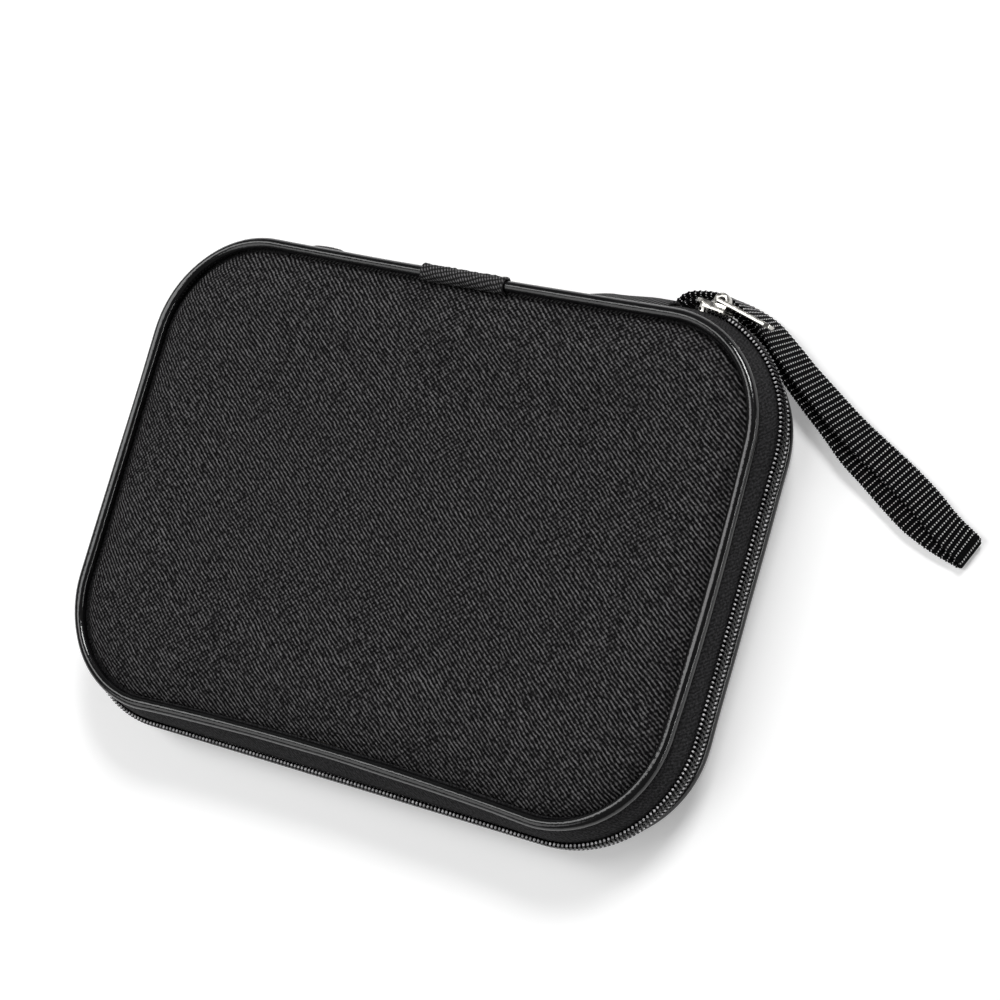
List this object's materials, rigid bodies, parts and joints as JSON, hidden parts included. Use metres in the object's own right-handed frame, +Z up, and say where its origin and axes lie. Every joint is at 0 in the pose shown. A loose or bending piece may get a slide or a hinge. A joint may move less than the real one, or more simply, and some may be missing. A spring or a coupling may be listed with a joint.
{
  "type": "glucose meter case",
  "caption": "Slim padded zip case for a glucose meter kit, with piped edges, a coil zip and slider, a woven spine that it opens on and a flat webbing wrist strap.",
  "frame": {"origin": "on the floor, under the middle of the closed case without its strap", "axes": "+X along the case, +Y towards the spine, +Z up from the back panel to the front panel"},
  "size_m": [0.2301, 0.1349, 0.0215],
  "materials": {
    "twill": "black polyester twill",
    "vinyl": "glossy black vinyl piping",
    "woven_tape": "black woven polyester tape",
    "coil": "black polyester monofilament coil",
    "webbing": "black ribbed flat webbing",
    "elastic": "black woven elastic",
    "lining": "black knitted lining",
    "net": "black pocket net",
    "foam": "grey polyurethane foam",
    "board": "pressed paperboard",
    "nickel": "nickel-plated zinc"
  },
  "bodies": {
    "base": {"back_cover": "twill", "back_foam": "foam", "back_board": "board", "back_lining": "lining", "back_piping": "vinyl", "back_piping_tab": "woven_tape", "back_zip_tape": "woven_tape", "back_zip_coil": "coil", "back_seam_binding": "woven_tape", "spine_tape": "woven_tape", "meter_band": "elastic", "lancing_device_band": "elastic", "strip_vial_band": "elastic", "wrist_strap": "webbing"},
    "lid": {"front_cover": "twill", "front_foam": "foam", "front_board": "board", "front_lining": "lining", "front_piping": "vinyl", "front_piping_tab": "woven_tape", "front_zip_tape": "woven_tape", "front_zip_coil": "coil", "front_seam_binding": "woven_tape", "net_pocket": "net", "pocket_hem": "woven_tape"},
    "slider": {"zip_slider": "nickel"},
    "pull": {"zip_pull": "nickel"}
  },
  "joints": [
    {"name": "lid_hinge", "type": "hinge", "parent": "base", "child": "lid", "pos_m": [0, 0.06493, 0.01075], "axis": [-1, 0, 0], "range_deg": [0, 180], "deforming": ["spine_tape"]},
    {"name": "zip_travel", "type": "hinge", "parent": "base", "child": "slider", "pos_m": [0.05835, 0.03098, 0.01075], "axis": [0, 0, -1], "range_deg": [0, 72], "deforming": ["front_zip_coil", "back_zip_coil"]},
    {"name": "pull_swing", "type": "hinge", "parent": "slider", "child": "pull", "pos_m": [0.06502, 0.06482, 0.01075], "axis": [0, 0, 1], "range_deg": [0, 150]}
  ],
  "couplings": [
    {"joint": "zip_travel", "follows": "lid_hinge", "ratio": 0.4}
  ]
}
